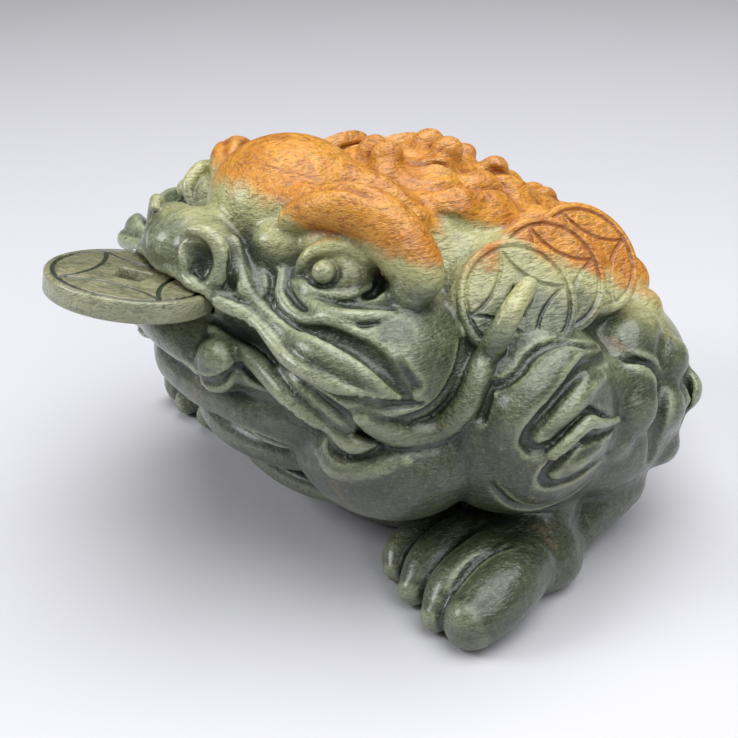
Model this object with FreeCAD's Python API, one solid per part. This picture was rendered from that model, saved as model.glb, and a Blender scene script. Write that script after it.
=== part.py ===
import FreeCAD, Part
import math
import os

# A carved stone toad that squats on a table and holds a loose round coin in its mouth.
# Units are millimetres. The toad looks along -Y, +X is its left side and +Z is up.
# The origin is on the table, under the middle of the toad.

# Driving dimensions.
TABLE = 0.0
REACH = 250.0
COIN_RADIUS = 22.5
COIN_THICKNESS = 6.0
COIN_CENTRE = FreeCAD.Vector(0.0, -81.0, 84.0)
COIN_PITCH = 10.0
COIN_HOLE = 9.0
COIN_CLEARANCE = 0.3
BACK_COIN_RADIUS = 16.5
BACK_COIN_THICKNESS = 6.0
ENGRAVING_WIDTH = 0.8
ENGRAVING_DEPTH = 0.5
RIM_WIDTH = 2.4

# Each lump is a centre, three radii and the turns about X, Y and Z in degrees.
# The lumps on the middle plane:
MIDDLE_LUMPS = {
    "trunk": ((0, 24, 42), (54, 64, 43), (-10, 0, 0)),
    "back": ((0, 12, 73), (38, 50, 30), (-16, 0, 0)),
    "loin": ((0, 46, 56), (38, 36, 27), (-24, 0, 0)),
    "rump": ((0, 68, 30), (33, 33, 31), (0, 0, 0)),
    "rear_foot": ((0, 89.5, 10), (17, 14, 12), (0, 0, 0)),
    "head": ((0, -30, 78), (50, 36, 22), (0, 0, 0)),
    "jaw": ((0, -42, 64), (44, 28, 12), (0, 0, 0)),
    "upper_lip": ((0, -55, 84), (26, 17, 9), (0, 0, 0)),
    "chin": ((0, -60, 69), (23, 17, 10), (0, 0, 0)),
    "throat": ((0, -48, 52), (36, 24, 14), (0, 0, 0)),
    "chest": ((0, -22, 28), (40, 28, 17), (0, 0, 0)),
    "belly": ((0, -6, 11), (42, 26, 14), (0, 0, 0)),
    "crown": ((0, -33, 97), (22.5, 22.5, 19), (0, 0, 0)),
    "nose_bridge": ((0, -61, 91.5), (12, 14, 9.5), (0, 0, 0)),
}

# The lumps of the left side, which the right side mirrors:
SIDE_LUMPS = {
    "haunch": ((44, 37, 40), (32, 40, 32), (0, 0, 24)),
    "hip": ((43, 57, 33), (18, 16, 20), (0, 0, 0)),
    "shoulder": ((60, 1, 50), (25, 28, 27), (0, 0, 0)),
    "foreleg": ((62, 10, 25), (15, 14, 26), (0, 0, 0)),
    "leg_root": ((60, 27, 12), (12, 21, 13), (0, 0, 18)),
    "front_palm": ((65, 1, 9), (18, 18, 12.5), (0, 0, 0)),
    "cheek": ((42, -34, 70), (26, 26, 20), (0, 0, 0)),
    "pouch": ((40, -29, 40), (30, 25, 22), (0, 0, 0)),
    "brow": ((31, -40, 101), (19, 8.5, 8), (0, 0, 36)),
    "brow_tail": ((45, -30, 97), (9, 8.5, 8), (0, 0, 0)),
    "brow_curl": ((52, -28, 91.5), (7, 7, 7.5), (0, 0, 0)),
    "eye": ((35, -38.5, 89.5), (9.5, 9.5, 8.5), (0, 0, 0)),
    "nostril": ((13, -65, 92), (7, 7, 8), (0, 0, 0)),
}

# The four toes of a front foot: where each starts and ends, and how thick it is.
TOES = (
    ((46, -8), (46, -27), 6.5),
    ((55, -6), (59, -30), 8.0),
    ((66, -8), (72, -31), 8.5),
    ((74, -6), (82, -29), 9.5),
)

# The three overlapping coins on the shoulder: the centre and the way that each faces.
BACK_COINS = (
    ((60, -1, 81.5), (0.80, -0.18, 0.57)),
    ((55, 13, 83.5), (0.78, -0.10, 0.62)),
    ((49, 31, 82.5), (0.74, 0.02, 0.67)),
)

# The warts along the back: centre and radius, on the middle plane and on the left side.
MIDDLE_WARTS = (((0, 1, 102), 6), ((0, 17, 101), 6), ((0, 35, 94), 5.5), ((0, 52, 84), 5))
SIDE_WARTS = (((14, 8, 98), 5), ((16, 24, 95), 5.5), ((27, 13, 90), 4.5), ((15, 42, 86), 4.5))

# The ribbon on the left side, from the corner of the mouth up to the first back coin.
RIBBON = ((63, -48, 64), (69, -38, 58), (75, -24, 62), (75, -14, 74), (72, -7, 86))
RIBBON_RADIUS = 4.0

# The rolled upper and lower lips on the left side, from beside the coin to the mouth's corner.
UPPER_LIP = ((24, -68, 84), (40, -63, 78), (54, -54, 70), (65, -42, 65))
LOWER_LIP = ((22, -68, 74), (38, -65, 67), (52, -57, 60), (63, -47, 58))
LIP_RADIUS = 4.5

UP = FreeCAD.Vector(0, 0, 1)


def ellipsoid(centre, radii, turns):
    """An ellipsoid, turned about X, then Y, then Z. It is made of two halves, so no face closes on itself."""
    stretch = FreeCAD.Matrix()
    stretch.scale(FreeCAD.Vector(*radii))
    front = Part.makeSphere(1.0, FreeCAD.Vector(0, 0, 0), UP, -90, 90, 180)
    rear = front.copy()
    rear.rotate(FreeCAD.Vector(0, 0, 0), UP, 180)
    shape = front.fuse(rear).transformGeometry(stretch)
    about_x, about_y, about_z = turns
    turn = FreeCAD.Rotation(about_z, about_y, about_x)
    shape.Placement = FreeCAD.Placement(FreeCAD.Vector(*centre), turn)
    return shape


def toe(start, end, thickness):
    """A long low ellipsoid that lies on the table from the palm to the toe's tip."""
    start_x, start_y = start
    end_x, end_y = end
    length = math.hypot(end_x - start_x, end_y - start_y)
    heading = math.degrees(math.atan2(end_y - start_y, end_x - start_x))
    middle = ((start_x + end_x) / 2, (start_y + end_y) / 2, thickness * 0.8)
    return ellipsoid(middle, (length / 2 + thickness * 0.6, thickness * 0.75, thickness), (0, 0, heading))


def facing(centre, direction):
    """The placement that lays a disc's axis along a direction."""
    turn = FreeCAD.Rotation(UP, FreeCAD.Vector(*direction))
    return FreeCAD.Placement(FreeCAD.Vector(*centre), turn)


def coin_pattern(radius, top):
    """The grooves of a coin's face: a ring inside the rim and four arcs that curve inwards."""
    inner = radius - RIM_WIDTH
    height = 2 * ENGRAVING_DEPTH
    base = FreeCAD.Vector(0, 0, top - ENGRAVING_DEPTH)
    ring = Part.makeCylinder(inner, height, base)
    ring = ring.cut(Part.makeCylinder(inner - ENGRAVING_WIDTH, height, base))
    grooves = [ring]
    disc = Part.makeCylinder(inner - ENGRAVING_WIDTH / 2, height, base)
    for quarter in range(4):
        angle = math.radians(45 + 90 * quarter)
        away = inner * math.sqrt(2)
        middle = FreeCAD.Vector(away * math.cos(angle), away * math.sin(angle), base.z)
        arc = Part.makeCylinder(inner, height, middle)
        arc = arc.cut(Part.makeCylinder(inner - ENGRAVING_WIDTH, height, middle))
        grooves.append(arc.common(disc))
    return grooves


def mouth_coin():
    """The loose coin: a disc with a square hole and the same pattern on both faces."""
    half = COIN_THICKNESS / 2
    coin = Part.makeCylinder(COIN_RADIUS, COIN_THICKNESS, FreeCAD.Vector(0, 0, -half))
    coin = coin.makeFillet(1.2, [edge for edge in coin.Edges if edge.Closed])
    corner = FreeCAD.Vector(-COIN_HOLE / 2, -COIN_HOLE / 2, -COIN_THICKNESS)
    coin = coin.cut(Part.makeBox(COIN_HOLE, COIN_HOLE, 2 * COIN_THICKNESS, corner))
    for groove in coin_pattern(COIN_RADIUS, half) + coin_pattern(COIN_RADIUS, -half):
        coin = coin.cut(groove)
    coin.Placement = FreeCAD.Placement(COIN_CENTRE, FreeCAD.Rotation(FreeCAD.Vector(1, 0, 0), -COIN_PITCH))
    return coin


def mouth_slot():
    """The pocket in the mouth that the coin slides into, a little larger than the coin."""
    half = COIN_THICKNESS / 2 + COIN_CLEARANCE
    slot = Part.makeCylinder(COIN_RADIUS + COIN_CLEARANCE, 2 * half, FreeCAD.Vector(0, 0, -half))
    slot.Placement = FreeCAD.Placement(COIN_CENTRE, FreeCAD.Rotation(FreeCAD.Vector(1, 0, 0), -COIN_PITCH))
    return slot


def back_coin(centre, direction):
    """One raised coin on the shoulder, with its face engraved."""
    half = BACK_COIN_THICKNESS / 2
    coin = Part.makeCylinder(BACK_COIN_RADIUS, BACK_COIN_THICKNESS, FreeCAD.Vector(0, 0, -half))
    for groove in coin_pattern(BACK_COIN_RADIUS, half):
        coin = coin.cut(groove)
    coin.Placement = facing(centre, direction)
    return coin


def rod(corners, radius):
    """Straight round runs with ball joints between them."""
    points = [FreeCAD.Vector(*corner) for corner in corners]
    pieces = [Part.makeSphere(radius, point) for point in points]
    for start, end in zip(points, points[1:]):
        run = end - start
        pieces.append(Part.makeCylinder(radius, run.Length, start, run))
    return pieces[0].multiFuse(pieces[1:])


def middle_lumps():
    """Everything that lies across the middle plane."""
    lumps = [ellipsoid(*lump) for lump in MIDDLE_LUMPS.values()]
    return lumps + [Part.makeSphere(radius, FreeCAD.Vector(*centre)) for centre, radius in MIDDLE_WARTS]


def left_lumps():
    """Everything that belongs to the toad's left side."""
    lumps = [ellipsoid(*lump) for lump in SIDE_LUMPS.values()]
    lumps += [toe(start, end, thickness) for start, end, thickness in TOES]
    lumps += [back_coin(centre, direction) for centre, direction in BACK_COINS]
    lumps += [Part.makeSphere(radius, FreeCAD.Vector(*centre)) for centre, radius in SIDE_WARTS]
    return lumps + [rod(RIBBON, RIBBON_RADIUS), rod(UPPER_LIP, LIP_RADIUS), rod(LOWER_LIP, LIP_RADIUS)]


def mirrored(shape):
    """The same shape on the toad's other side."""
    return shape.mirror(FreeCAD.Vector(0, 0, 0), FreeCAD.Vector(1, 0, 0))


def toad_carving():
    """The whole toad as one block of stone, flat underneath, with the slot for its coin."""
    left = left_lumps()
    body, *others = middle_lumps()
    body = body.multiFuse(others)
    for lump in left + [mirrored(lump) for lump in left]:
        body = body.fuse(lump)
    table = Part.makeBox(2 * REACH, 2 * REACH, REACH, FreeCAD.Vector(-REACH, -REACH, TABLE - REACH))
    return body.cut(table).cut(mouth_slot())


def largest_solid(shape):
    """A boolean's single solid, without the compound around it."""
    return max(shape.Solids, key=lambda solid: solid.Volume)


os.makedirs("parts", exist_ok=True)
nodes = {"toad_carving": toad_carving(), "mouth_coin": mouth_coin()}
for name, shape in nodes.items():
    solid = largest_solid(shape)
    solid.exportStep(f"parts/{name}.step")
    box = solid.optimalBoundingBox(False)
    print(name, len(shape.Solids), solid.isValid(), round(solid.Volume), len(solid.Faces))
    print([round(v, 1) for v in (box.XMin, box.XMax, box.YMin, box.YMax, box.ZMin, box.ZMax)])
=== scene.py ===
import math
import bpy
import numpy as np
import openvdb
from mathutils import Matrix, Vector


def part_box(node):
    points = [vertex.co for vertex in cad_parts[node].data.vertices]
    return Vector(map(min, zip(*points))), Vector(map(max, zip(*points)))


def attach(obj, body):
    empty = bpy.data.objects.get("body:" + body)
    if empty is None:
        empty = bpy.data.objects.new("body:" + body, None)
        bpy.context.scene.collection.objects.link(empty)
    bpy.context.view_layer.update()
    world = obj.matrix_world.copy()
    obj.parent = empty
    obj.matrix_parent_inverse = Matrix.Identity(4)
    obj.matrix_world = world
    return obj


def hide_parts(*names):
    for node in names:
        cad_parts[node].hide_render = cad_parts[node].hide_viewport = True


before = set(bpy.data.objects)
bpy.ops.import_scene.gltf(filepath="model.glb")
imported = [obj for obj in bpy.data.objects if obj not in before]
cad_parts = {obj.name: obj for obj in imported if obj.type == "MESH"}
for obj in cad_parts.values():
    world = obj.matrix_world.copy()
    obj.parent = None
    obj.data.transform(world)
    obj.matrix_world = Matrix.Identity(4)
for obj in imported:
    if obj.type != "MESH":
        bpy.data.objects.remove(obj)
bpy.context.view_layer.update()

# The toad is sculpted in millimetres in the frame: it looks along -Y, +X is its left side, +Z is up.
# One side is sculpted as a distance field and mirrored. The brows and eyes are added on both sides, and
# the whole is then turned into a mesh. FAR is the distance that stands for empty space.
MM = 0.001
GRID_STEP = 0.8
MIRROR_MARGIN = 3
FAR = 60.0

# The mouth coin and the coins on the shoulders.
MOUTH_COIN_RADIUS = 22.4
MOUTH_COIN_THICKNESS = 5.9
MOUTH_COIN_CENTRE = (0.0, -81.0, 84.0)
MOUTH_COIN_PITCH = 10.0
SLOT_GAP = 0.5
MOUTH_COIN_HOLE = 8.0
MOUTH_COIN_TURN = 86.0
SHOULDER_COIN_RADIUS = 16.5
SHOULDER_COIN_THICKNESS = 4.5
SHOULDER_COIN_HOLE = 6.0
SHOULDER_COIN_TURN = 8.0
SHOULDER_COINS = (
    ((60.5, -1.5, 82.2), (0.80, -0.18, 0.57)),
    ((55.5, 13.0, 84.2), (0.78, -0.10, 0.62)),
    ((49.5, 31.0, 83.4), (0.74, 0.02, 0.67)),
)
COIN_RIM = 2.3
COIN_EDGE_ROUNDING = 0.9
ENGRAVING_WIDTH = 0.42
ENGRAVING_DEPTH = 0.55

# The share of the toad's faces that is kept in the full model.
FACES_KEPT = 0.62

# The height, in millimetres, where green stone turns to orange skin in the middle of the toad.
SKIN_LINE_HEIGHT = 95.0

# The toad's stone and the loose coin's browner stone: light, middle, dark, and the brown of the stains. The
# dark tone is also painted low on the body as shade.
GREEN = ((0.168, 0.192, 0.108), (0.080, 0.096, 0.046), (0.028, 0.038, 0.016), (0.34, 0.22, 0.09))
OLIVE = ((0.26, 0.25, 0.14), (0.17, 0.17, 0.09), (0.08, 0.09, 0.045), (0.38, 0.25, 0.11))

# Other colours of the stone, its orange skin and the floor.
# Painted shade in the green stone's hollows and creases.
GREEN_PAINTED_SHADE = (0.018, 0.028, 0.014)
# The green stone's pale edges: partly wear, partly a painted highlight.
GREEN_WEAR_AND_HIGHLIGHT = (0.38, 0.41, 0.26)
BLACK_SPECK = (0.012, 0.020, 0.014)
SCRATCH = (0.30, 0.30, 0.26)
YELLOW_GREEN = (0.47, 0.46, 0.21)
ORANGE = (0.47, 0.175, 0.014)
YELLOW_ORANGE = (0.60, 0.27, 0.030)
BROWN_STREAK = (0.31, 0.085, 0.014)
SKIN_MOTTLE = (0.64, 0.34, 0.14)
# Painted shade in the orange skin's hollows and creases.
SKIN_PAINTED_SHADE = (0.28, 0.075, 0.012)
# The orange skin's pale edges: partly wear, partly a painted highlight.
SKIN_WEAR_AND_HIGHLIGHT = (0.70, 0.38, 0.15)
FLOOR = (0.56, 0.56, 0.60)

# The camera: degrees round from the front towards the toad's left, degrees up, metres, and the lens in mm.
CAMERA_AZIMUTH = 57.0
CAMERA_ELEVATION = 26.0
CAMERA_DISTANCE = 0.420
CAMERA_TARGET = (0.0, -0.007, 0.040)
CAMERA_LENS = 68.3

# The lights: name, place, size in metres and watts. They all point at the lit spot.
LIGHTS = (
    ("window", (-0.32, -0.66, 0.52), 0.35, 4.2),
    ("fill", (0.66, 0.02, 0.56), 0.45, 2.1),
    ("ceiling", (0.05, 0.15, 0.95), 1.1, 15.5),
)
LIT_SPOT = (0, 0, 0.05)


# ---------------------------------------------------------------- clay: a distance field to sculpt in

class Clay:
    """A signed distance field on a grid, in millimetres. It starts as the left half, x >= 0."""

    def __init__(self, low, high, step):
        self.step = step
        self.low = np.array(low, float)
        self.count = np.ceil((np.array(high, float) - self.low) / step).astype(int) + 1
        self.field = np.full(self.count, FAR, np.float32)
        self.axes = [self.low[i] + step * np.arange(self.count[i]) for i in range(3)]

    def window(self, low, high):
        """The part of the grid that holds a box, and the coordinates of its points."""
        first = np.clip(np.floor((np.array(low) - self.low) / self.step).astype(int), 0, self.count)
        last = np.clip(np.ceil((np.array(high) - self.low) / self.step).astype(int) + 1, 0, self.count)
        part = tuple(slice(a, b) for a, b in zip(first, last))
        x, y, z = (self.axes[i][part[i]].astype(np.float32) for i in range(3))
        return part, x[:, None, None], y[None, :, None], z[None, None, :]

    def mix(self, part, shape, blend, carve):
        """Adds a shape to the clay, or takes it away, with a rounded seam as wide as blend."""
        old = self.field[part]
        if carve:
            old = -old
        share = np.clip(0.5 + 0.5 * (old - shape) / blend, 0, 1)
        mixed = old + (shape - old) * share - blend * share * (1 - share)
        self.field[part] = -mixed if carve else mixed

    def lump(self, centre, radii, turn=(0, 0, 0), blend=3.0, carve=False):
        """An ellipsoid, turned about X, then Y, then Z."""
        axes = rotation(turn)
        radii = np.array(radii, float)
        centre = np.array(centre, float)
        reach = np.sqrt(((axes * radii) ** 2).sum(1)) + 1.5 * blend + 4 * self.step
        part, x, y, z = self.window(centre - reach, centre + reach)
        if 0 in self.field[part].shape:
            return
        near = 0
        slope = 0
        for i in range(3):
            along = (x - centre[0]) * axes[0, i] + (y - centre[1]) * axes[1, i] + (z - centre[2]) * axes[2, i]
            near = near + (along / radii[i]) ** 2
            slope = slope + (along / radii[i] ** 2) ** 2
        near = np.sqrt(near)
        shape = near * (near - 1) / np.maximum(np.sqrt(slope), 1e-6)
        self.mix(part, shape.astype(np.float32), blend, carve)

    def tube(self, points, radii, blend=2.0, carve=False, lift=None):
        """A round roll along a smooth path. With lift, the path is first laid on the surface."""
        if lift is not None:
            points = self.laid(points, lift)
        path, radii = smooth_path(points, radii)
        pad = 1.5 * blend + 4 * self.step
        part, x, y, z = self.window(path.min(0) - radii.max() - pad, path.max(0) + radii.max() + pad)
        if 0 in self.field[part].shape:
            return
        shape = np.full(self.field[part].shape, FAR, np.float32)
        for start, end, r0, r1 in zip(path[:-1], path[1:], radii[:-1], radii[1:]):
            run = end - start
            reach = max(r0, r1) + pad
            near, nx, ny, nz = self.window(np.minimum(start, end) - reach, np.maximum(start, end) + reach)
            local = tuple(slice(a.start - b.start, a.stop - b.start) for a, b in zip(near, part))
            px, py, pz = nx - start[0], ny - start[1], nz - start[2]
            t = np.clip((px * run[0] + py * run[1] + pz * run[2]) / max(run @ run, 1e-9), 0, 1)
            away = np.sqrt((px - t * run[0]) ** 2 + (py - t * run[1]) ** 2 + (pz - t * run[2]) ** 2)
            shape[local] = np.minimum(shape[local], away - (r0 + (r1 - r0) * t))
        self.mix(part, shape, blend, carve)

    def groove(self, points, radii, blend=1.2, lift=0.0):
        """A cut along a path on the surface."""
        self.tube(points, radii, blend, carve=True, lift=lift)

    def disc(self, centre, normal, radius, half, blend=0.5, carve=False):
        """A flat round plate."""
        centre = np.array(centre, float)
        normal = np.array(normal, float) / np.linalg.norm(normal)
        reach = radius + half + 1.5 * blend + 4 * self.step
        part, x, y, z = self.window(centre - reach, centre + reach)
        x, y, z = x - centre[0], y - centre[1], z - centre[2]
        up = x * normal[0] + y * normal[1] + z * normal[2]
        out = np.sqrt(np.maximum(x * x + y * y + z * z - up * up, 0))
        a, b = out - radius, np.abs(up) - half
        shape = np.minimum(np.maximum(a, b), 0) + np.hypot(np.maximum(a, 0), np.maximum(b, 0))
        self.mix(part, shape.astype(np.float32), blend, carve)

    def flatten(self, height, blend=1.0):
        """Grinds everything below a height away."""
        whole = (slice(None),) * 3
        above = np.broadcast_to(self.axes[2] - height, self.field.shape).astype(np.float32)
        self.mix(whole, above, blend, True)

    def both_sides(self):
        """The same clay with its mirror image added, on a grid over both sides."""
        whole = Clay.__new__(Clay)
        whole.step = self.step
        whole.low = self.low.copy()
        whole.low[0] = -(self.count[0] - 1 - MIRROR_MARGIN) * self.step
        whole.field = np.concatenate([self.field[:MIRROR_MARGIN:-1], self.field[MIRROR_MARGIN:]], 0)
        whole.count = np.array(whole.field.shape)
        whole.axes = [whole.low[i] + self.step * np.arange(whole.count[i]) for i in range(3)]
        return whole

    def sample(self, points):
        """The field's value at any points, between grid points."""
        place = (np.asarray(points, float) - self.low) / self.step
        place = np.clip(place, 0, self.count - 1.001)
        cell = np.floor(place).astype(int)
        part = place - cell
        total = 0
        for corner in np.ndindex(2, 2, 2):
            weight = np.prod(np.where(corner, part, 1 - part), axis=1)
            i, j, k = (cell + corner).T
            total = total + weight * self.field[i, j, k]
        return total

    def laid(self, points, lift):
        """Moves rough points onto the surface, then a little out (+) or in (-)."""
        points = np.array(points, float)
        for _ in range(8):
            value, out = self.value_and_normal(points)
            points = points - out * value[:, None] * 0.8
        out = self.value_and_normal(points)[1]
        return points + out * lift

    def value_and_normal(self, points):
        """The field's value at any points, and the direction in which it grows."""
        reach = 1.2 * self.step
        slope = np.stack([self.sample(points + e) - self.sample(points - e) for e in np.eye(3) * reach], 1)
        length = np.maximum(np.linalg.norm(slope, axis=1), 1e-6)
        return self.sample(points), slope / length[:, None]


def rotation(turn):
    """A rotation about X, then Y, then Z, in degrees."""
    about = [Matrix.Rotation(math.radians(angle), 3, axis) for angle, axis in zip(turn, "XYZ")]
    return np.array(about[2] @ about[1] @ about[0])


def smooth_path(points, radii, parts=6):
    """A smooth curve through the points, and the radius along it."""
    points = np.array(points, float)
    radii = np.broadcast_to(np.array(radii, float), (len(points),))
    keys = np.column_stack([points, radii])
    if len(keys) < 3:
        return keys[:, :3], keys[:, 3]
    ends = np.vstack([2 * keys[0] - keys[1], keys, 2 * keys[-1] - keys[-2]])
    steps = np.arange(parts)[:, None] / parts
    rows = []
    for a, b, c, d in zip(ends, ends[1:], ends[2:], ends[3:]):
        bend = (2 * a - 5 * b + 4 * c - d) * steps ** 2 + (3 * b - a - 3 * c + d) * steps ** 3
        rows.append(0.5 * (2 * b + (c - a) * steps + bend))
    path = np.vstack(rows + [keys[-1:]])
    return path[:, :3], np.maximum(path[:, 3], 0.2)


# ---------------------------------------------------------------- the toad

def trunk(clay):
    """The body behind the head, with the third leg's plain foot in the middle at the back."""
    clay.lump((0, 24, 42), (54, 64, 43), (-10, 0, 0))
    clay.lump((0, 12, 73), (38, 50, 30), (-16, 0, 0), blend=8)
    clay.lump((0, 46, 56), (38, 36, 27), (-24, 0, 0), blend=8)
    clay.lump((44, 37, 40), (31, 39, 31), (0, 0, 24), blend=6)
    clay.lump((42, 56, 32), (16, 15, 19), blend=4)
    clay.lump((0, 68, 30), (33, 33, 31), blend=8)
    clay.lump((0, 86, 9), (16, 14, 11), blend=4)
    for across, back in ((0, 103), (12, 100)):
        clay.tube([(across * 0.5, 84, 9), (across * 0.9, 94, 9), (across, back - 6, 5)], [6, 6, 5], blend=1.5)


def haunch_folds(clay):
    """The lumpy skin of the haunch."""
    bumps = ((66, 38, 66, 9), (75, 33, 59, 9), (78, 19, 60, 7), (77, 30, 49, 9), (78, 22, 40, 6),
             (66, 50, 56, 8), (70, 42, 44, 8), (60, 54, 42, 7), (63, 47, 30, 6), (50, 54, 66, 7),
             (60, 46, 66, 6))
    for x, y, z, radius in bumps:
        centre = clay.laid([(x, y, z)], -0.55 * radius)[0]
        clay.lump(centre, (radius, radius * 1.15, radius), blend=2)
    clay.groove([(72, 28, 67), (71, 38, 55), (74, 38, 44), (70, 38, 32)], [1, 2, 2, 1], blend=2)
    clay.groove([(60, 50, 62), (64, 54, 50), (62, 52, 36)], [1, 2, 1], blend=2)


def foreleg(clay):
    """The rounded upper leg, the short leg under it, and the stone left standing behind it."""
    clay.lump((60, 1, 50), (25, 28, 28), blend=4)
    clay.tube([(62, 10, 36), (60, 12, 24), (62, 8, 14)], [14, 11, 11], blend=3)
    clay.tube([(66, 12, 7), (61, 26, 11), (55, 40, 15)], [8, 9, 12], blend=3)


def scrolls(clay):
    """The layered flame scrolls on the upper leg."""
    clay.tube([(70, 24, 69), (75, 12, 71), (77, 3, 71), (77, -6, 67), (77, -13, 61), (78, -17, 54)],
              [3, 5, 6, 6, 6, 4], blend=1.5, lift=-3.4)
    clay.groove([(70, 25.5, 68.5), (73, 23, 67.5), (78, 10, 69.5), (80, 3.5, 68), (80.5, -1, 65),
                 (81, -5, 62), (80, -9, 60), (79.5, -11.5, 57), (80, -12, 54), (81, -10, 52), (83, -6, 53),
                 (84.5, -2, 56), (84, 2, 58), (84, 5, 59), (83.5, 9.5, 56), (82.5, 14.5, 53), (78, 23.5, 49)],
                [0.8, 1.6, 2.4, 2.6, 2.6, 2.6, 2.4, 2.2, 2, 1.8, 1.6, 1.6, 1.6, 1.6, 1.6, 1.4, 0.8],
                blend=0.8)
    clay.tube([(80, -9, 56), (82, -2, 60.5), (82, 6, 64), (78, 14, 64)],
              [1.5, 2.8, 3, 2], blend=1.5, lift=-1.2)
    clay.tube([(83, -6, 50), (84.5, -2, 53), (85, 1.5, 55.5), (85, 5, 56.5), (84, 10, 54.5), (79, 20, 50)],
              [1.6, 2.0, 2.0, 2.0, 1.6, 1.2], blend=0.8, lift=0.4)
    clay.groove([(80, 20, 48), (84, 10, 51), (85, 3.5, 52.5), (85, 0, 51.5), (84.5, -3, 49.5), (82.5, -6, 46),
                 (81.5, -7, 43), (83, -5, 40.5), (84, -2, 40), (83, 4, 41), (82, 10, 42), (78, 18, 40.5)],
                [0.8, 1.6, 2.2, 2.2, 2.2, 2.2, 2.0, 1.6, 1.4, 1.4, 1.2, 0.8], blend=0.8)
    clay.tube([(82, -4, 44), (83, 2, 46), (82, 10, 47)], [1.5, 2.6, 1.5], blend=1.5, lift=-1.2)
    clay.groove([(73, -21, 60), (72.5, -19.5, 64.5), (72, -18.5, 67.5), (73.5, -14, 68.5), (74, -10, 70),
                 (72.5, -5, 73), (72.5, 3, 74), (75, 11, 73), (71, 22, 70)],
                [1.6, 1.6, 1.4, 1.4, 1.4, 1.4, 1.4, 1.4, 0.8], blend=0.8)
    clay.groove([(75, -18, 42), (77, -12, 33), (77, 0, 28.5), (77, 9, 30), (76, 16, 35)],
                [0.6, 1.2, 1.2, 1.2, 0.6], blend=0.8)


def front_foot(clay):
    """The webbed front foot: a plump palm and four fanned toes with round tips."""
    clay.lump((64, -1, 9), (17, 17, 12.5), blend=3)
    clay.lump((68, 6, 7), (12, 11, 9), blend=3)
    toes = (([(46, -8, 8), (44, -17, 7.5), (45, -25, 6), (48, -29, 4)], [6.5, 6.5, 5.5, 3.8]),
            ([(55, -6, 11), (55.5, -15, 10.5), (57, -24, 8.5), (60, -31.5, 5)], [8, 7.8, 6.8, 4.5]),
            ([(67, -8, 12), (69, -17, 11.5), (70.5, -26, 9), (73, -33, 5)], [8.5, 8.2, 7.2, 4.6]),
            ([(74, -6, 11), (78.5, -15, 11), (81, -23, 9), (82.5, -29, 7)], [9, 9.5, 9, 7.5]))
    for path, radii in toes:
        clay.tube(path, radii, blend=0.9)
    tips = (((83, -30, 8.5), 6.4), ((72.5, -31, 7.5), 4.6),
            ((59.5, -29.5, 7), 4.2), ((47.2, -27.5, 5.5), 3.6))
    for place, size in tips:
        clay.lump(place, (size, size, size), blend=0.5)
    clay.groove([(76, -11, 21), (74, -20, 18), (76, -28, 12)], [0.6, 1.6, 1.2], blend=0.8, lift=0.2)
    clay.groove([(62, -10, 21), (62, -19, 19), (64, -28, 13)], [0.8, 1.6, 1.2], blend=0.8, lift=0.2)
    clay.groove([(50, -12, 17), (50, -20, 13), (51, -27, 9)], [0.8, 1.4, 1.0], blend=0.8, lift=0.2)


def skull(clay):
    """The wide flat head, the cheeks and the jaws."""
    clay.lump((0, -32, 78), (46, 34, 20), blend=6)
    clay.lump((42, -34, 70), (26, 26, 20), blend=5)
    clay.lump((0, -55, 84), (25, 16, 8), blend=5)
    clay.lump((0, -42, 64), (44, 28, 12), blend=5)
    clay.lump((0, -60, 69), (22, 16, 9), blend=4)


def throat(clay):
    """The rolls of the throat, the pouch under the jaw and the belly."""
    clay.lump((0, -45.5, 54), (34, 24, 12), blend=1.5)
    clay.lump((24, -46.5, 52), (18, 16, 13), blend=3)
    clay.lump((41, -28, 43), (30, 25, 21), blend=2)
    clay.lump((0, -28, 35), (38, 31, 12), blend=1.5)
    clay.lump((0, -19, 20), (40, 27, 10), blend=1.5)
    clay.lump((0, -4, 9), (41, 25, 12), blend=2)
    clay.lump((20, -67, 64), (7, 6, 6), blend=2)
    clay.lump((51.5, -47.5, 50), (7, 6, 6), blend=3)


def crown(clay):
    """The smooth dome on top of the head, with a ridge that runs down behind the brow."""
    clay.lump((0, -33, 97), (22.5, 22.5, 19), blend=2)
    clay.tube([(12, -22, 102), (18, -15, 100), (25, -10, 95)], [7, 6.5, 5], blend=4)


def brow(clay, side, out, forward, rise):
    """The heavy winged brow, which ends in a curl behind the eye."""
    def at(x, y, z):
        return (side * (x + out), y - forward, z + rise)

    clay.lump(at(20, -47, 94), (8, 6, 6.5), (0, 0, 38 * side), blend=3)
    clay.lump(at(33, -37, 96.5), (11, 6.5, 6), (0, 0, 38 * side), blend=2)
    clay.tube([at(15, -42, 103), at(22, -38, 103), at(29, -31, 101)], [5, 6, 5], blend=3)
    clay.tube([at(23, -46, 102), at(30, -41, 106), at(36, -36, 107), at(42, -31, 104), at(48, -28, 98.5),
               at(52.5, -27, 93), at(53.5, -29.5, 89)],
              [3.2, 5.2, 6.8, 7.6, 7.8, 7.0, 5.2], blend=1.2)
    clay.groove([at(21, -38, 110), at(27, -37, 111), at(34, -33, 112), at(41, -27, 110)],
                [0.6, 1.2, 1.4, 0.5], blend=1)
    clay.groove([at(30, -42, 112), at(36, -38, 112), at(42, -34, 110)], [0.5, 1.0, 0.5], blend=2)
    clay.lump(at(45, -36, 89.5), (4.5, 4, 4), blend=1.2, carve=True)


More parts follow.
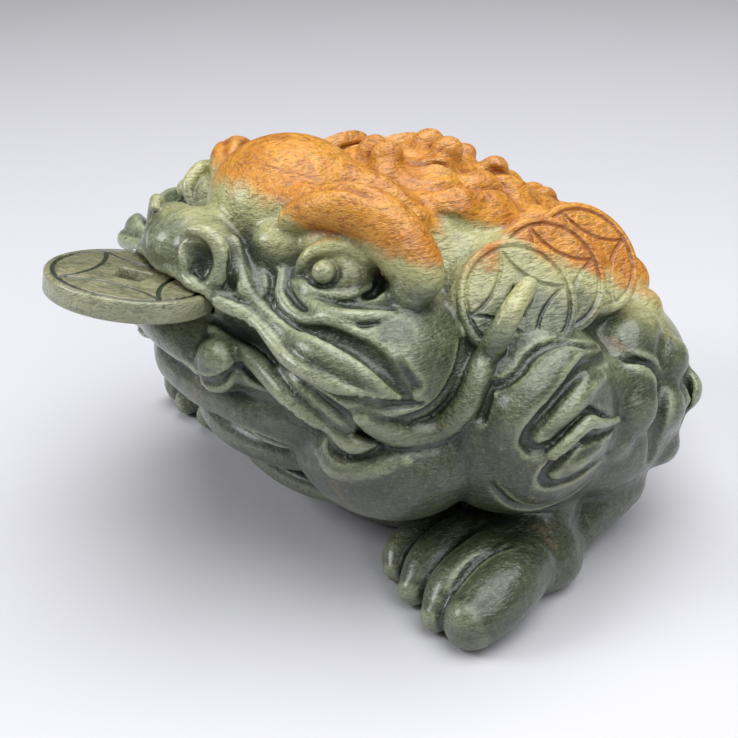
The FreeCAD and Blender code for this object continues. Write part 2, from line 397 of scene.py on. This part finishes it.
def eye(clay, side):
    """The bulging almond eye with its lids, and the bags under it."""
    look = Vector((0.72 * side, -0.55, 0.42)).normalized()
    along = Vector((0, 0, 1)).cross(look).normalized() * side
    up = look.cross(along) * side
    centre = Vector((35.0 * side, -39.0, 89.6))

    def ring(places, lift):
        """Points on the eyeball, given as shares of its half length and half height."""
        points = []
        for a, b in places:
            depth = 9.3 * math.sqrt(max(0, 1 - a * a - 0.55 * b * b)) + lift
            points.append(centre + along * 10.5 * a + up * 6.6 * b + look * depth)
        return points

    def mirrored(points):
        return [(side * x, y, z) for x, y, z in points]

    clay.groove(mirrored([(41, -46, 88.3), (47.7, -42.5, 88.6), (54, -37, 87.5)]),
                [1.5, 3.4, 2.4], blend=1.5, lift=0.5)
    clay.lump(centre, (10.2, 8.6, 8.0), (0, 0, 33 * side), blend=0.8)
    clay.tube(ring([(-1.0, -0.1), (-0.75, 0.5), (-0.3, 0.95), (0.3, 0.95), (0.75, 0.5), (1.0, -0.1)], 0.4),
              [1.0, 1.8, 2.1, 2.1, 1.9, 1.0], blend=0.6)
    clay.tube(ring([(-1.0, -0.1), (-0.7, -0.55), (-0.2, -0.85), (0.35, -0.8), (0.8, -0.45)], 0.2),
              [1.0, 1.7, 1.9, 1.7, 0.8], blend=0.6)
    pupil = (-0.28, 0.02)
    turns = np.radians(np.arange(0, 361, 30))
    iris = [(pupil[0] + 0.36 * math.cos(turn), pupil[1] + 0.46 * math.sin(turn)) for turn in turns]
    clay.tube(ring(iris, -0.5), 1.3, blend=0.4, carve=True)
    clay.lump(ring([pupil], -2.0)[0], (3.2, 3.2, 3.2), blend=0.4)
    clay.tube(mirrored([(31, -50, 88.5), (37.5, -50.4, 86.5), (46, -49.7, 85.7), (51.4, -46.8, 85.7),
                        (55, -42.4, 86), (56.5, -37.4, 86.6)]),
              [0.8, 1.8, 2.0, 2.0, 1.8, 0.8], blend=1.2, lift=0)
    clay.groove(mirrored([(29, -52.5, 88.5), (36, -52.5, 85), (46, -51.8, 84), (53, -48, 84), (57, -42, 85)]),
                [0.5, 1.0, 1.0, 1.0, 0.5], blend=1.0)
    clay.tube(mirrored([(26.5, -50.5, 90.4), (31, -54, 86), (40, -54, 83), (50, -52.5, 82.5), (57, -46, 83)]),
              [0.8, 1.6, 1.7, 1.6, 0.8], blend=1.5, lift=-0.2)


def nose(clay):
    """The snout, its two flared nostrils and the flap beside each."""
    clay.lump((0, -61, 91.5), (12, 14, 9.5), (-10, 0, 0), blend=3)
    clay.lump((10, -63, 91), (9, 9, 9), blend=2)
    clay.tube([(13.5, -71, 96.5), (16.3, -68.8, 93), (15.5, -70.2, 89)],
              [3.0, 4.2, 2.8], blend=0.8, carve=True)
    clay.tube([(10.5, -68, 99.8), (14.5, -65.5, 99.8), (18, -64, 97.3), (19.8, -64, 92.8), (19, -65.8, 88.2),
               (17, -68.2, 85.8), (15, -70, 87.5)], [1.3, 2.0, 2.3, 2.4, 2.2, 1.9, 1.3], blend=0.6)
    clay.tube([(17, -56, 98), (20, -58.5, 92), (24, -60, 86), (28, -58.5, 83.5)],
              [1.5, 2.4, 2.6, 1.6], blend=1.5, lift=-0.4)
    clay.groove([(29, -59, 83), (29.5, -55.5, 86), (27, -53.5, 89), (23, -53, 92)],
                [0.8, 1.6, 1.4, 0.6], blend=0.8)
    clay.groove([(21, -62, 96), (22.5, -62.5, 91), (23, -64, 87)], [0.6, 1.2, 0.6], blend=0.8)
    clay.groove([(12, -56, 100), (19, -52, 97), (24, -48, 94)], [0.6, 1.2, 0.8], blend=1.2)


def lips(clay):
    """The upper lip over the coin, and the long folds back to the corner of the mouth."""
    clay.tube([(0, -73, 88), (10, -72, 88), (18, -69.5, 86), (25, -66, 83)],
              [1.6, 1.8, 1.8, 1.6], blend=1.5, lift=-0.4)
    clay.tube([(28, -62, 82), (40, -59, 80), (50, -57.5, 79), (57, -53.5, 77), (62, -49, 74),
               (65.5, -45, 70)],
              [2.5, 4.2, 5.0, 5.0, 4.4, 2.6], blend=1.0, lift=-1.2)
    clay.groove([(32, -57.5, 82), (45, -54.5, 83), (55, -50, 81.5), (61.5, -45.5, 78), (65.5, -42, 73.5),
                 (67.5, -38.5, 67)],
                [0.8, 2.2, 3.0, 3.0, 2.4, 1.0], blend=0.8, lift=-0.2)
    clay.groove([(65.5, -41, 78), (68, -37.5, 71)], [0.6, 1.4], blend=1.2)
    clay.tube([(33, -61, 71), (42, -59, 69.5), (50, -57, 67), (56, -53, 63.5), (60, -50, 61)],
              [3, 4.5, 5, 4.5, 2.5], blend=1.2, carve=True, lift=2.2)
    clay.tube([(24, -68, 83), (30, -64.5, 80.3), (40, -61.5, 77.5), (50, -60, 76), (58, -56, 74.5),
               (62.5, -52, 72), (65.5, -46.5, 68.5)],
              [1.8, 2.2, 2.4, 2.4, 2.4, 2.4, 1.8], blend=0.7, lift=0.4)
    clay.groove([(20, -68, 79.5), (32, -62, 75.5), (41, -60.5, 74), (50, -59.5, 72.5), (57, -56.5, 70.5),
                 (62, -53, 69), (65.5, -48, 66.5), (67.5, -42, 65.5), (68, -35, 65)],
                [1.2, 2.2, 3.0, 3.2, 3.2, 3.0, 2.6, 1.8, 0.8], blend=0.5, lift=-0.5)
    clay.tube([(18, -67.5, 75), (23, -64.5, 72), (29, -62, 69.5), (36, -61, 67), (43.5, -59.5, 64),
               (49.5, -57, 60.5), (53.5, -53.5, 56.5), (57.5, -49, 54), (62, -46, 54.5)],
              [1.4, 2.0, 2.6, 2.9, 3.0, 3.0, 3.0, 2.8, 1.6], blend=0.8, lift=0.6)
    clay.tube([(38, -59, 70), (46, -57, 67.5), (53, -54.5, 63.5), (57.5, -49.5, 58)],
              [0.8, 1.8, 1.8, 1.0], blend=1.2, lift=0.2)
    clay.groove([(24, -63.5, 66), (34, -62, 62.5), (44, -60, 58), (50, -56.5, 54), (54, -51.5, 50.5),
                 (59, -47, 49.5), (64, -42, 50.5)],
                [0.8, 2.0, 2.6, 2.6, 2.2, 1.6, 0.6], blend=0.9)
    clay.tube([(46, -55, 47), (53, -51, 45.5), (62, -46.5, 47.5), (66, -39, 50)],
              [1.5, 3, 3, 1.5], blend=2, lift=-0.8)


def chin(clay):
    """The folds under the coin and the full roll of the throat."""
    clay.tube([(0, -71, 67), (10, -71, 66), (18, -69.5, 65)], [3, 3, 3], blend=2.5)
    clay.lump((21.5, -67.5, 68.5), (6, 5.5, 5), blend=1.2)
    clay.groove([(0, -73, 61.5), (10, -72.5, 61.5), (18, -71, 62.5), (24, -69, 63.5), (27.5, -65, 67)],
                [1.6, 1.8, 2.0, 2.0, 0.8], blend=0.8)
    clay.tube([(0, -67, 54), (10, -67, 54), (18, -66.5, 53), (26, -64.5, 50), (34, -61, 47)],
              [6, 6.5, 6.5, 6, 3], blend=1.5, lift=-4.5)
    clay.groove([(0, -66, 45), (12, -65, 44), (22, -64, 43.5), (32, -61, 42.5), (40, -56, 42)],
                [2, 2.2, 2.2, 2, 0.8], blend=1.0)


def ribbon(clay):
    """The band from the mouth's corner, round the cheek and up over the first shoulder coin."""
    clay.groove([(60.5, -50, 62.5), (63, -46, 60), (66, -38, 61), (68, -31, 63), (66, -25, 70),
                 (63, -19, 77)],
                [1.0, 1.4, 1.4, 1.4, 1.4, 0.8], blend=0.8, lift=0.4)
    round_cheek = clay.laid([(62, -49.5, 62), (62.5, -44, 58.5), (64, -37, 56), (67, -29, 57), (69, -24, 62),
                             (68, -19, 69), (67, -15, 75)], 0)
    over_coin = [(69, -12, 81), (68, -8, 85.5), (64.5, -1, 88)]
    clay.tube(list(round_cheek) + over_coin, [2.6, 3.5, 3.8, 3.8, 3.8, 3.7, 3.5, 3.1, 2.9, 2.6], blend=0.6)


def temple(clay):
    """The small fold between the brow's curl and the shoulder coins."""
    clay.tube([(49, -12, 98), (53, -15, 92), (56, -17, 84), (59, -19, 77)],
              [2, 2.8, 2.8, 1.5], blend=1.2, lift=-0.4)


def shoulder_bed(clay):
    """The stone that carries the shoulder coins."""
    for (x, y, z), facing in SHOULDER_COINS:
        centre = np.array((x, y, z)) - 4.0 * np.array(facing)
        clay.disc(centre, facing, SHOULDER_COIN_RADIUS - 2.5, 3.0, blend=4)
    clay.lump((40, 22, 76), (20, 30, 16), (0, 20, 8), blend=5)
    clay.lump((38, 56, 68), (9, 8, 8), blend=2)


def mouth_slot(clay):
    """The slot that the loose coin slides into."""
    pitch = math.radians(MOUTH_COIN_PITCH)
    normal = (0, math.sin(pitch), math.cos(pitch))
    half = MOUTH_COIN_THICKNESS / 2 + SLOT_GAP
    clay.disc(MOUTH_COIN_CENTRE, normal, MOUTH_COIN_RADIUS + SLOT_GAP, half, blend=0.4, carve=True)


def warts(clay):
    """The knobs along the spine, and the bumps and folds over the back."""
    knobs = ((3, -3, 4.0, 6.0), (8, -7, 4, 2.5), (-1, 7, 5, 2.0), (4, 15, 4.2, 6.5), (10, 9, 5, 2.5),
             (7, 30, 3.8, 4.5), (0, 43, 5, 2.0), (3, 58, 4, 3.0), (24, 4, 9, 2.2), (31, 7, 7, 2.2),
             (27, 18, 9, 2.8), (15, 33, 9, 2.2), (15, 20, 8, 1.8), (27, 33, 8, 2.2), (17, 48, 7, 2.0),
             (30, 46, 7, 2.2), (12, 64, 6, 2.0), (26, 60, 7, 2.0))
    folds = (([(14, -8, 106), (20, 0, 102), (21, 12, 98), (20, 24, 95)], 1.6),
             ([(8, 3, 107), (13, 14, 103), (10, 24, 100), (12, 38, 94)], 1.5),
             ([(27, -2, 96), (33, 10, 92), (33, 24, 90), (36, 36, 84)], 1.6),
             ([(5, 34, 98), (8, 46, 90), (6, 60, 84)], 1.4),
             ([(12, 26, 98), (20, 28, 95), (28, 26, 92)], 1.2),
             ([(20, 38, 93), (22, 52, 84), (18, 66, 76)], 1.6))
    for x, y, radius, rise in knobs:
        centre = clay.laid([(x, y, 102 - 0.25 * y)], rise - radius)[0]
        clay.lump(centre, (radius, radius * 1.2, radius), blend=2.6)
    for path, size in folds:
        clay.groove(path, [0.5] + [size] * (len(path) - 2) + [0.5], blend=2)


def sculpt():
    """The left side without its brow and eye, from the large forms to the small ones."""
    low, high = (Vector(corner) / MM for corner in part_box("toad_carving"))
    margin = 4.0
    clay = Clay((-MIRROR_MARGIN * GRID_STEP, low.y - margin, low.z - margin),
                (high.x + margin, high.y + margin, high.z + 2 * margin), GRID_STEP)
    for form in (trunk, haunch_folds, foreleg, front_foot, skull, throat, crown, shoulder_bed, warts,
                 scrolls, nose, lips, chin, temple, ribbon, mouth_slot):
        form(clay)
    clay.flatten(0.0)
    return clay


def sculpt_whole():
    """Both sides with brows and eyes. The right brow sits lower and further back than the left one."""
    clay = sculpt().both_sides()
    brow(clay, 1, 0, 0, 0)
    brow(clay, -1, -2, -4, -7)
    for side in (1, -1):
        eye(clay, side)
    return clay


# ---------------------------------------------------------------- meshes

def mesh_from_clay(name, clay):
    """Turns the clay into a mesh and notes on its points how hollow or proud each place is."""
    grid = openvdb.FloatGrid(FAR)
    grid.copyFromArray(np.ascontiguousarray(clay.field))
    points, triangles, quads = grid.convertToPolygons(isovalue=0.0, adaptivity=0.0)
    points = points * clay.step + clay.low
    faces = [tuple(int(i) for i in face[::-1]) for face in (*quads, *triangles)]
    mesh = bpy.data.meshes.new(name)
    mesh.from_pydata((points * MM).tolist(), [], faces)
    mesh.polygons.foreach_set("use_smooth", [True] * len(mesh.polygons))
    # The materials paint shade into the hollow places and a pale highlight, with wear, onto the proud ones.
    for label, reach in (("hollow_small", 1.6), ("hollow_large", 5.0)):
        note(mesh, label, hollowness(clay, points, reach))
    return put(name, mesh)


def hollowness(clay, points, reach):
    """How hollow (+) or proud (-) the surface is, from the field's mean on a small cube around a point."""
    mean = 0
    corners = [np.array(c) * 2 - 1 for c in np.ndindex(2, 2, 2)]
    for corner in corners:
        mean = mean + clay.sample(points + corner * reach / math.sqrt(3))
    return -mean / len(corners) / reach


def note(mesh, label, values):
    """Stores one number per point, which the materials read."""
    layer = mesh.attributes.new(label, "FLOAT", "POINT")
    layer.data.foreach_set("value", np.asarray(values, np.float32))


def put(name, mesh):
    """An object for a mesh, in the scene."""
    piece = bpy.data.objects.new(name, mesh)
    bpy.context.scene.collection.objects.link(piece)
    return piece


def engraving(u, v, radius):
    """Depth of the cuts at a point of a coin's face: a ring inside the rim and four inward arcs."""
    inner = radius - COIN_RIM
    out = np.hypot(u, v)
    lines = [np.abs(out - inner)]
    for quarter in range(4):
        angle = math.radians(45 + 90 * quarter)
        away = inner * 1.75
        bend = math.sqrt(inner ** 2 + away ** 2 - 2 * inner * away * math.cos(math.radians(45)))
        arc = np.abs(np.hypot(u - away * math.cos(angle), v - away * math.sin(angle)) - bend)
        lines.append(np.where(out < inner, arc, FAR))
    near = np.min(lines, axis=0)
    return ENGRAVING_DEPTH * np.clip(1.5 - near / ENGRAVING_WIDTH, 0, 1)


def coin_mesh(name, radius, thickness, hole, around=256, rings=40):
    """A coin with a square hole: engraved faces, rounded edges, in one closed mesh about its own axis."""
    angles = np.linspace(0, 2 * math.pi, around, endpoint=False)
    turn = math.radians(45)
    square = hole / 2 / np.maximum(np.abs(np.cos(angles - turn)), np.abs(np.sin(angles - turn)))
    half = thickness / 2
    rounding = COIN_EDGE_ROUNDING
    rows = []
    fractions = np.linspace(0, 1, rings)
    for side in (1, -1):
        profile = []
        for fraction in fractions:
            reach = square + (radius - rounding - square) * fraction
            u, v = reach * np.cos(angles), reach * np.sin(angles)
            height = half - engraving(u, v, radius)
            soft = np.clip(1 - (reach - square) / 0.8, 0, 1) ** 2 * 0.4
            profile.append(np.column_stack([u, v, side * (height - soft)]))
        for step in range(1, 5):
            bend = math.radians(90 * step / 5)
            reach = radius - rounding + rounding * math.sin(bend)
            height = np.full(around, side * (half - rounding + rounding * math.cos(bend)))
            profile.append(np.column_stack([reach * np.cos(angles), reach * np.sin(angles), height]))
        rows += profile if side == 1 else profile[::-1]
    count = len(rows)
    faces = []
    for row in range(count):
        following = (row + 1) % count
        for i in range(around):
            j = (i + 1) % around
            faces.append((row * around + i, following * around + i, following * around + j, row * around + j))
    mesh = bpy.data.meshes.new(name)
    points = np.vstack(rows)
    mesh.from_pydata(points.tolist(), [], faces)
    mesh.polygons.foreach_set("use_smooth", [True] * len(mesh.polygons))
    # The engraved cuts are noted as hollow, so that they get painted shade; the rim is noted as proud, so
    # that it gets the pale edge of wear and painted highlight.
    cut = engraving(points[:, 0], points[:, 1], radius) * (np.abs(points[:, 2]) > half - 1.5)
    edge = np.clip((np.hypot(points[:, 0], points[:, 1]) - radius + 1.2) / 1.2, 0, 1)
    note(mesh, "hollow_small", cut * 0.8 - edge * 0.12)
    note(mesh, "hollow_large", cut * 0.0)
    return mesh


def lay_coin(name, mesh, centre, normal, turn):
    """Moves a coin's points to its place in the frame, so that the object itself stays at the origin."""
    normal = Vector(normal).normalized()
    side = Vector((0, 0, 1)).cross(normal).normalized()
    up = normal.cross(side)
    place = Matrix((side, up, normal)).transposed().to_4x4()
    place = Matrix.Translation(Vector(centre)) @ place @ Matrix.Rotation(math.radians(turn), 4, "Z")
    mesh.transform(Matrix.Scale(MM, 4) @ place)
    return put(name, mesh)


def mouth_coin(material):
    """The loose coin, which slides out of the mouth."""
    pitch = math.radians(MOUTH_COIN_PITCH)
    mesh = coin_mesh("mouth_coin_stone", MOUTH_COIN_RADIUS, MOUTH_COIN_THICKNESS, MOUTH_COIN_HOLE, 320, 52)
    normal = (0, math.sin(pitch), math.cos(pitch))
    coin = lay_coin("mouth_coin_stone", mesh, MOUTH_COIN_CENTRE, normal, MOUTH_COIN_TURN)
    coin.data.materials.append(material)
    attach(coin, "coin")
    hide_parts("mouth_coin")


def shoulder_coins(material):
    """Three overlapping coins in relief on each shoulder."""
    for label, side in (("left", 1), ("right", -1)):
        for number, ((x, y, z), (across, along, up)) in enumerate(SHOULDER_COINS, 1):
            name = f"shoulder_coin_{label}_{number}"
            mesh = coin_mesh(name, SHOULDER_COIN_RADIUS, SHOULDER_COIN_THICKNESS, SHOULDER_COIN_HOLE)
            normal = (side * across, along, up)
            coin = lay_coin(name, mesh, (side * x, y, z), normal, SHOULDER_COIN_TURN * side)
            coin.data.materials.append(material)
            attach(coin, "toad")


def toad(material):
    """The carved block of stone."""
    body = mesh_from_clay("toad_stone_carving", sculpt_whole())
    body.data.materials.append(material)
    thin = body.modifiers.new("fewer_faces", "DECIMATE")
    thin.ratio = FACES_KEPT
    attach(body, "toad")
    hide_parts("toad_carving")


# ---------------------------------------------------------------- materials

class Nodes:
    """Short words for building a material's nodes."""

    def __init__(self, name):
        self.material = bpy.data.materials.new(name)
        self.material.use_nodes = True
        self.tree = self.material.node_tree
        self.shader = self.tree.nodes["Principled BSDF"]

    def add(self, kind, **values):
        """A new node with its settings."""
        node = self.tree.nodes.new(kind)
        for key, value in values.items():
            setattr(node, key, value)
        return node

    def join(self, value, socket):
        """Links an output to a socket, or sets a plain value on it."""
        if hasattr(value, "links"):
            self.tree.links.new(value, socket)
        else:
            socket.default_value = value

    def math(self, operation, *values):
        """The result of one arithmetic step."""
        node = self.add("ShaderNodeMath", operation=operation)
        for value, socket in zip(values, node.inputs):
            self.join(value, socket)
        return node.outputs[0]

    def place(self, stretch=(1, 1, 1)):
        """The point's place in the frame, in metres, stretched."""
        place = self.add("ShaderNodeTexCoord").outputs["Object"]
        mapping = self.add("ShaderNodeMapping")
        self.join(place, mapping.inputs["Vector"])
        mapping.inputs["Scale"].default_value = stretch
        return mapping.outputs[0]

    def noise(self, size, detail=4.0, rough=0.55, stretch=(1, 1, 1), warp=0.0):
        """Noise whose features are about size metres across."""
        node = self.add("ShaderNodeTexNoise")
        self.join(self.place(stretch), node.inputs["Vector"])
        node.inputs["Scale"].default_value = 1 / size
        node.inputs["Detail"].default_value = detail
        node.inputs["Roughness"].default_value = rough
        node.inputs["Distortion"].default_value = warp
        return node.outputs["Fac"]

    def band(self, value, low, high, out_low=0.0, out_high=1.0):
        """A smooth step from one level to another."""
        node = self.add("ShaderNodeMapRange", interpolation_type="SMOOTHSTEP")
        for socket, number in zip(node.inputs, (value, low, high, out_low, out_high)):
            self.join(number, socket)
        return node.outputs[0]

    def mix(self, share, first, second, blend="MIX"):
        """A share of the second colour over the first."""
        node = self.add("ShaderNodeMix", data_type="RGBA", blend_type=blend)
        self.join(share, node.inputs["Factor"])
        for colour, socket in ((first, node.inputs["A"]), (second, node.inputs["B"])):
            self.join((*colour, 1.0) if isinstance(colour, tuple) else colour, socket)
        return node.outputs["Result"]

    def note(self, label):
        """The number that is stored on the mesh's points under a label."""
        return self.add("ShaderNodeAttribute", attribute_name=label).outputs["Fac"]

    def bump(self, height, distance, strength, normal=None):
        """A bumped normal, on top of an earlier one if it is given."""
        node = self.add("ShaderNodeBump")
        self.join(height, node.inputs["Height"])
        node.inputs["Distance"].default_value = distance
        node.inputs["Strength"].default_value = strength
        if normal is not None:
            self.join(normal, node.inputs["Normal"])
        return node.outputs[0]


def green_stone(nodes, light, middle, dark, rust):
    """Mottled stone, darker towards the bottom as painted shade, with painted shade in the hollows, pale
    edges that are partly wear and partly a painted highlight, brown stains and black specks.
    """
    clouds = nodes.noise(0.030, 3.0, 0.6, warp=0.4)
    mottles = nodes.noise(0.006, 5.0, 0.65, warp=0.6)
    grain = nodes.noise(0.0012, 3.0, 0.7)
    colour = nodes.mix(nodes.band(clouds, 0.42, 0.58), middle, light)
    height = nodes.add("ShaderNodeSeparateXYZ")
    nodes.join(nodes.place(), height.inputs[0])
    # Painted shade: the stone is darkened towards the bottom of the toad.
    colour = nodes.mix(nodes.band(height.outputs["Z"], 0.080, 0.035, 0.0, 0.85), colour, dark)
    colour = nodes.mix(nodes.band(mottles, 0.44, 0.62, 0.0, 0.70), colour, dark)
    colour = nodes.mix(nodes.band(grain, 0.48, 0.68, 0.0, 0.40), colour, light)
    stains = nodes.math("MULTIPLY", nodes.band(nodes.noise(0.018, 4.0, 0.6, warp=1.0), 0.60, 0.72),
                        nodes.band(mottles, 0.42, 0.60, 0.0, 0.45))
    colour = nodes.mix(stains, colour, rust)
    # Painted shade in the hollows and creases, strongest where the surface is most hollow.
    hollow = nodes.band(nodes.note("hollow_small"), 0.01, 0.13, 0.0, 0.95)
    deep = nodes.band(nodes.note("hollow_large"), 0.01, 0.24, 0.0, 0.85)
    colour = nodes.mix(nodes.math("MAXIMUM", hollow, deep), colour, GREEN_PAINTED_SHADE)
    # Paler on proud edges: partly wear, partly a painted highlight.
    wear_and_highlight = nodes.band(nodes.note("hollow_small"), -0.02, -0.14, 0.0, 0.60)
    colour = nodes.mix(wear_and_highlight, colour, GREEN_WEAR_AND_HIGHLIGHT)
    specks = nodes.band(nodes.noise(0.0030, 2.0, 0.6, (1.0, 0.8, 1.2), 0.2), 0.72, 0.76, 0.0, 0.85)
    return nodes.mix(specks, colour, BLACK_SPECK), mottles, grain


def orange_skin(nodes, mottles):
    """The natural orange-brown skin: warm yellow, streaked and stained with brown, with painted shade in its
    hollows, and paler edges that are partly wear and partly a painted highlight.
    """
    streaks = nodes.noise(0.0085, 6.0, 0.7, (0.5, 1.0, 2.0), 1.8)
    patches = nodes.noise(0.016, 4.0, 0.6, warp=1.0)
    colour = nodes.mix(nodes.band(patches, 0.36, 0.64), ORANGE, YELLOW_ORANGE)
    colour = nodes.mix(nodes.band(streaks, 0.52, 0.66, 0.0, 0.80), colour, BROWN_STREAK)
    colour = nodes.mix(nodes.band(mottles, 0.56, 0.72, 0.0, 0.30), colour, SKIN_MOTTLE)
    # Painted shade in the skin's hollows and creases.
    hollow = nodes.band(nodes.note("hollow_small"), 0.01, 0.18, 0.0, 0.75)
    colour = nodes.mix(hollow, colour, SKIN_PAINTED_SHADE)
    # Paler on proud edges: partly wear, partly a painted highlight.
    wear_and_highlight = nodes.band(nodes.note("hollow_small"), -0.03, -0.20, 0.0, 0.32)
    return nodes.mix(wear_and_highlight, colour, SKIN_WEAR_AND_HIGHLIGHT)


def skin_height(nodes):
    """Millimetres above the ragged line where green turns orange. The line drops towards the rump and on
    the sides of the head."""
    split = nodes.add("ShaderNodeSeparateXYZ")
    nodes.join(nodes.place((1 / MM, 1 / MM, 1 / MM)), split.inputs[0])
    front = nodes.math("MULTIPLY", split.outputs["Y"], -0.18)
    rear = nodes.math("MULTIPLY", split.outputs["Y"], -0.50)
    line = nodes.math("ADD", nodes.math("MINIMUM", front, rear), SKIN_LINE_HEIGHT)
    out = nodes.math("ABSOLUTE", split.outputs["X"])
    beside = nodes.math("MULTIPLY", nodes.band(out, 16.0, 30.0), nodes.band(split.outputs["Y"], 2.0, -6.0))
    beside = nodes.math("MULTIPLY", beside, nodes.band(split.outputs["Y"], -14.0, -28.0, 6.5, 3.0))
    line = nodes.math("SUBTRACT", line, beside)
    height = nodes.math("SUBTRACT", split.outputs["Z"], line)
    ragged = nodes.math("MULTIPLY", nodes.math("SUBTRACT", nodes.noise(0.012, 4.0, 0.6), 0.5), 14.0)
    return nodes.math("ADD", height, ragged)


def finish_stone(nodes, colour, grain, mottles, gloss, wax):
    """Waxed satin gloss, shallow dents and the fine tool marks."""
    shader = nodes.shader
    scratches = nodes.noise(0.0011, 2.0, 0.5, (1.0, 0.35, 1.6), 0.8)
    colour = nodes.mix(nodes.band(scratches, 0.34, 0.50, 0.50, 0.0), colour, SCRATCH, "MULTIPLY")
    nodes.join(colour, shader.inputs["Base Color"])
    nodes.join(nodes.band(mottles, 0.3, 0.7, gloss - 0.06, gloss + 0.10), shader.inputs["Roughness"])
    shader.inputs["Specular IOR Level"].default_value = 0.5
    nodes.join(wax, shader.inputs["Coat Weight"])
    shader.inputs["Coat Roughness"].default_value = 0.23
    waves = nodes.noise(0.0075, 3.0, 0.6)
    dents = nodes.noise(0.0032, 2.0, 0.5)
    bumped = nodes.bump(waves, 0.0016, 0.50)
    bumped = nodes.bump(dents, 0.0016, 0.60, bumped)
    bumped = nodes.bump(scratches, 0.00065, 0.85, bumped)
    bumped = nodes.bump(grain, 0.00030, 0.50, bumped)
    nodes.join(bumped, shader.inputs["Normal"])
    return nodes.material


def toad_material():
    """Green stone below, orange skin above, and a pale yellow-green zone between."""
    nodes = Nodes("toad_stone")
    green, mottles, grain = green_stone(nodes, *GREEN)
    height = skin_height(nodes)
    pale = nodes.mix(nodes.band(height, -11.0, -1.0, 0.0, 0.8), green, YELLOW_GREEN)
    colour = nodes.mix(nodes.band(height, -1.0, 4.5), pale, orange_skin(nodes, mottles))
    wax = nodes.band(height, -6.0, 4.5, 0.65, 0.10)
    return finish_stone(nodes, colour, grain, mottles, 0.36, wax)


def coin_material():
    """The loose coin's stone, a little browner than the toad's."""
    nodes = Nodes("coin_stone")
    colour, mottles, grain = green_stone(nodes, *OLIVE)
    return finish_stone(nodes, colour, grain, mottles, 0.38, 0.65)


# ---------------------------------------------------------------- studio

def studio():
    """A pale floor, a window light in front, a fill light on the toad's left and a wide soft light above."""
    bpy.ops.mesh.primitive_plane_add(size=6.0)
    floor = bpy.context.object
    floor.name = "floor"
    nodes = Nodes("floor")
    nodes.shader.inputs["Base Color"].default_value = (*FLOOR, 1)
    nodes.shader.inputs["Roughness"].default_value = 0.55
    floor.data.materials.append(nodes.material)
    world = bpy.data.worlds.new("soft_room")
    world.use_nodes = True
    world.node_tree.nodes["Background"].inputs["Color"].default_value = (1.0, 1.0, 1.0, 1)
    world.node_tree.nodes["Background"].inputs["Strength"].default_value = 0.10
    bpy.context.scene.world = world
    bpy.context.scene.view_settings.view_transform = "Standard"
    for name, place, size, watts in LIGHTS:
        light = bpy.data.lights.new(name, "AREA")
        light.size = size
        light.energy = watts
        lamp = bpy.data.objects.new(name, light)
        lamp.location = place
        lamp.rotation_euler = (Vector(LIT_SPOT) - Vector(place)).to_track_quat("-Z", "Y").to_euler()
        bpy.context.scene.collection.objects.link(lamp)


def camera():
    """Looks at the toad from its left front and from above."""
    azimuth = math.radians(CAMERA_AZIMUTH)
    elevation = math.radians(CAMERA_ELEVATION)
    level = math.cos(elevation)
    back = Vector((math.sin(azimuth) * level, -math.cos(azimuth) * level, math.sin(elevation)))
    lens = bpy.data.cameras.new("camera")
    lens.sensor_width = 36
    lens.lens = CAMERA_LENS
    lens.clip_start = 0.01
    view = bpy.data.objects.new("camera", lens)
    view.location = Vector(CAMERA_TARGET) + back * CAMERA_DISTANCE
    view.rotation_euler = back.to_track_quat("Z", "Y").to_euler()
    bpy.context.scene.collection.objects.link(view)
    bpy.context.scene.camera = view


studio()
camera()
stone = toad_material()
toad(stone)
shoulder_coins(stone)
mouth_coin(coin_material())
